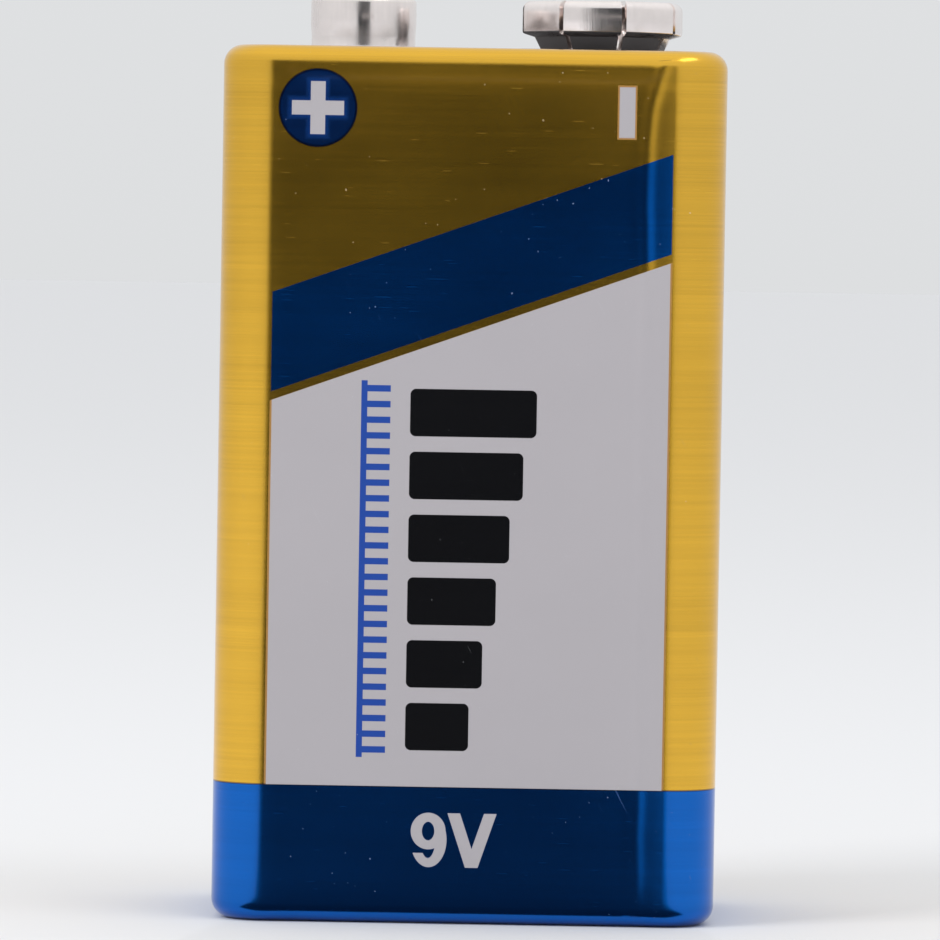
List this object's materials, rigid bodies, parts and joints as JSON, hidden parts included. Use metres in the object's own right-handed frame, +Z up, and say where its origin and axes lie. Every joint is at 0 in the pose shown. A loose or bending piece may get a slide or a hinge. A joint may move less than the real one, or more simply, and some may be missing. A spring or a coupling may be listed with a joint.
{
  "type": "nine volt battery",
  "caption": "Rectangular nine volt battery: printed steel jacket with rolled rims, snap stud and snap socket on top, round cells in series inside.",
  "frame": {"origin": "middle of the underside, on the surface that the battery stands on", "axes": "+Z up towards the terminals, -Y out of the printed front, +X towards the snap socket"},
  "size_m": [0.0264, 0.0168, 0.0485],
  "materials": {
    "printed_jacket": "printed and lacquered tinplate, gold with blue and white fields",
    "black_moulding": "black moulded plastic, fine grain",
    "insulating_card": "plain pressed card",
    "liner_sheet": "smooth pale insulating paper",
    "nickel_terminal": "bright nickel plate on drawn sheet",
    "plated_rivet": "nickel-plated rivet",
    "nickel_strip": "rolled nickel strip",
    "cell_steel": "nickel-plated drawn steel",
    "nylon_seal": "natural nylon",
    "sleeve_film": "shrunk plastic film"
  },
  "bodies": {
    "root": {"outer_jacket": "printed_jacket", "base_plate": "black_moulding", "terminal_board": "black_moulding", "top_insulator": "insulating_card", "bottom_insulator": "insulating_card", "cell_liner": "liner_sheet", "positive_stud": "nickel_terminal", "negative_socket": "nickel_terminal", "positive_rivet": "plated_rivet", "negative_rivet": "plated_rivet", "positive_lead": "nickel_strip", "negative_lead": "nickel_strip", "link_1": "nickel_strip", "link_2": "nickel_strip", "link_3": "nickel_strip", "link_4": "nickel_strip", "link_5": "nickel_strip", "cell_1_can": "cell_steel", "cell_1_cap": "cell_steel", "cell_1_seal": "nylon_seal", "cell_1_sleeve": "sleeve_film", "cell_2_can": "cell_steel", "cell_2_cap": "cell_steel", "cell_2_seal": "nylon_seal", "cell_2_sleeve": "sleeve_film", "cell_3_can": "cell_steel", "cell_3_cap": "cell_steel", "cell_3_seal": "nylon_seal", "cell_3_sleeve": "sleeve_film", "cell_4_can": "cell_steel", "cell_4_cap": "cell_steel", "cell_4_seal": "nylon_seal", "cell_4_sleeve": "sleeve_film", "cell_5_can": "cell_steel", "cell_5_cap": "cell_steel", "cell_5_seal": "nylon_seal", "cell_5_sleeve": "sleeve_film", "cell_6_can": "cell_steel", "cell_6_cap": "cell_steel", "cell_6_seal": "nylon_seal", "cell_6_sleeve": "sleeve_film"}
  },
  "joints": []
}
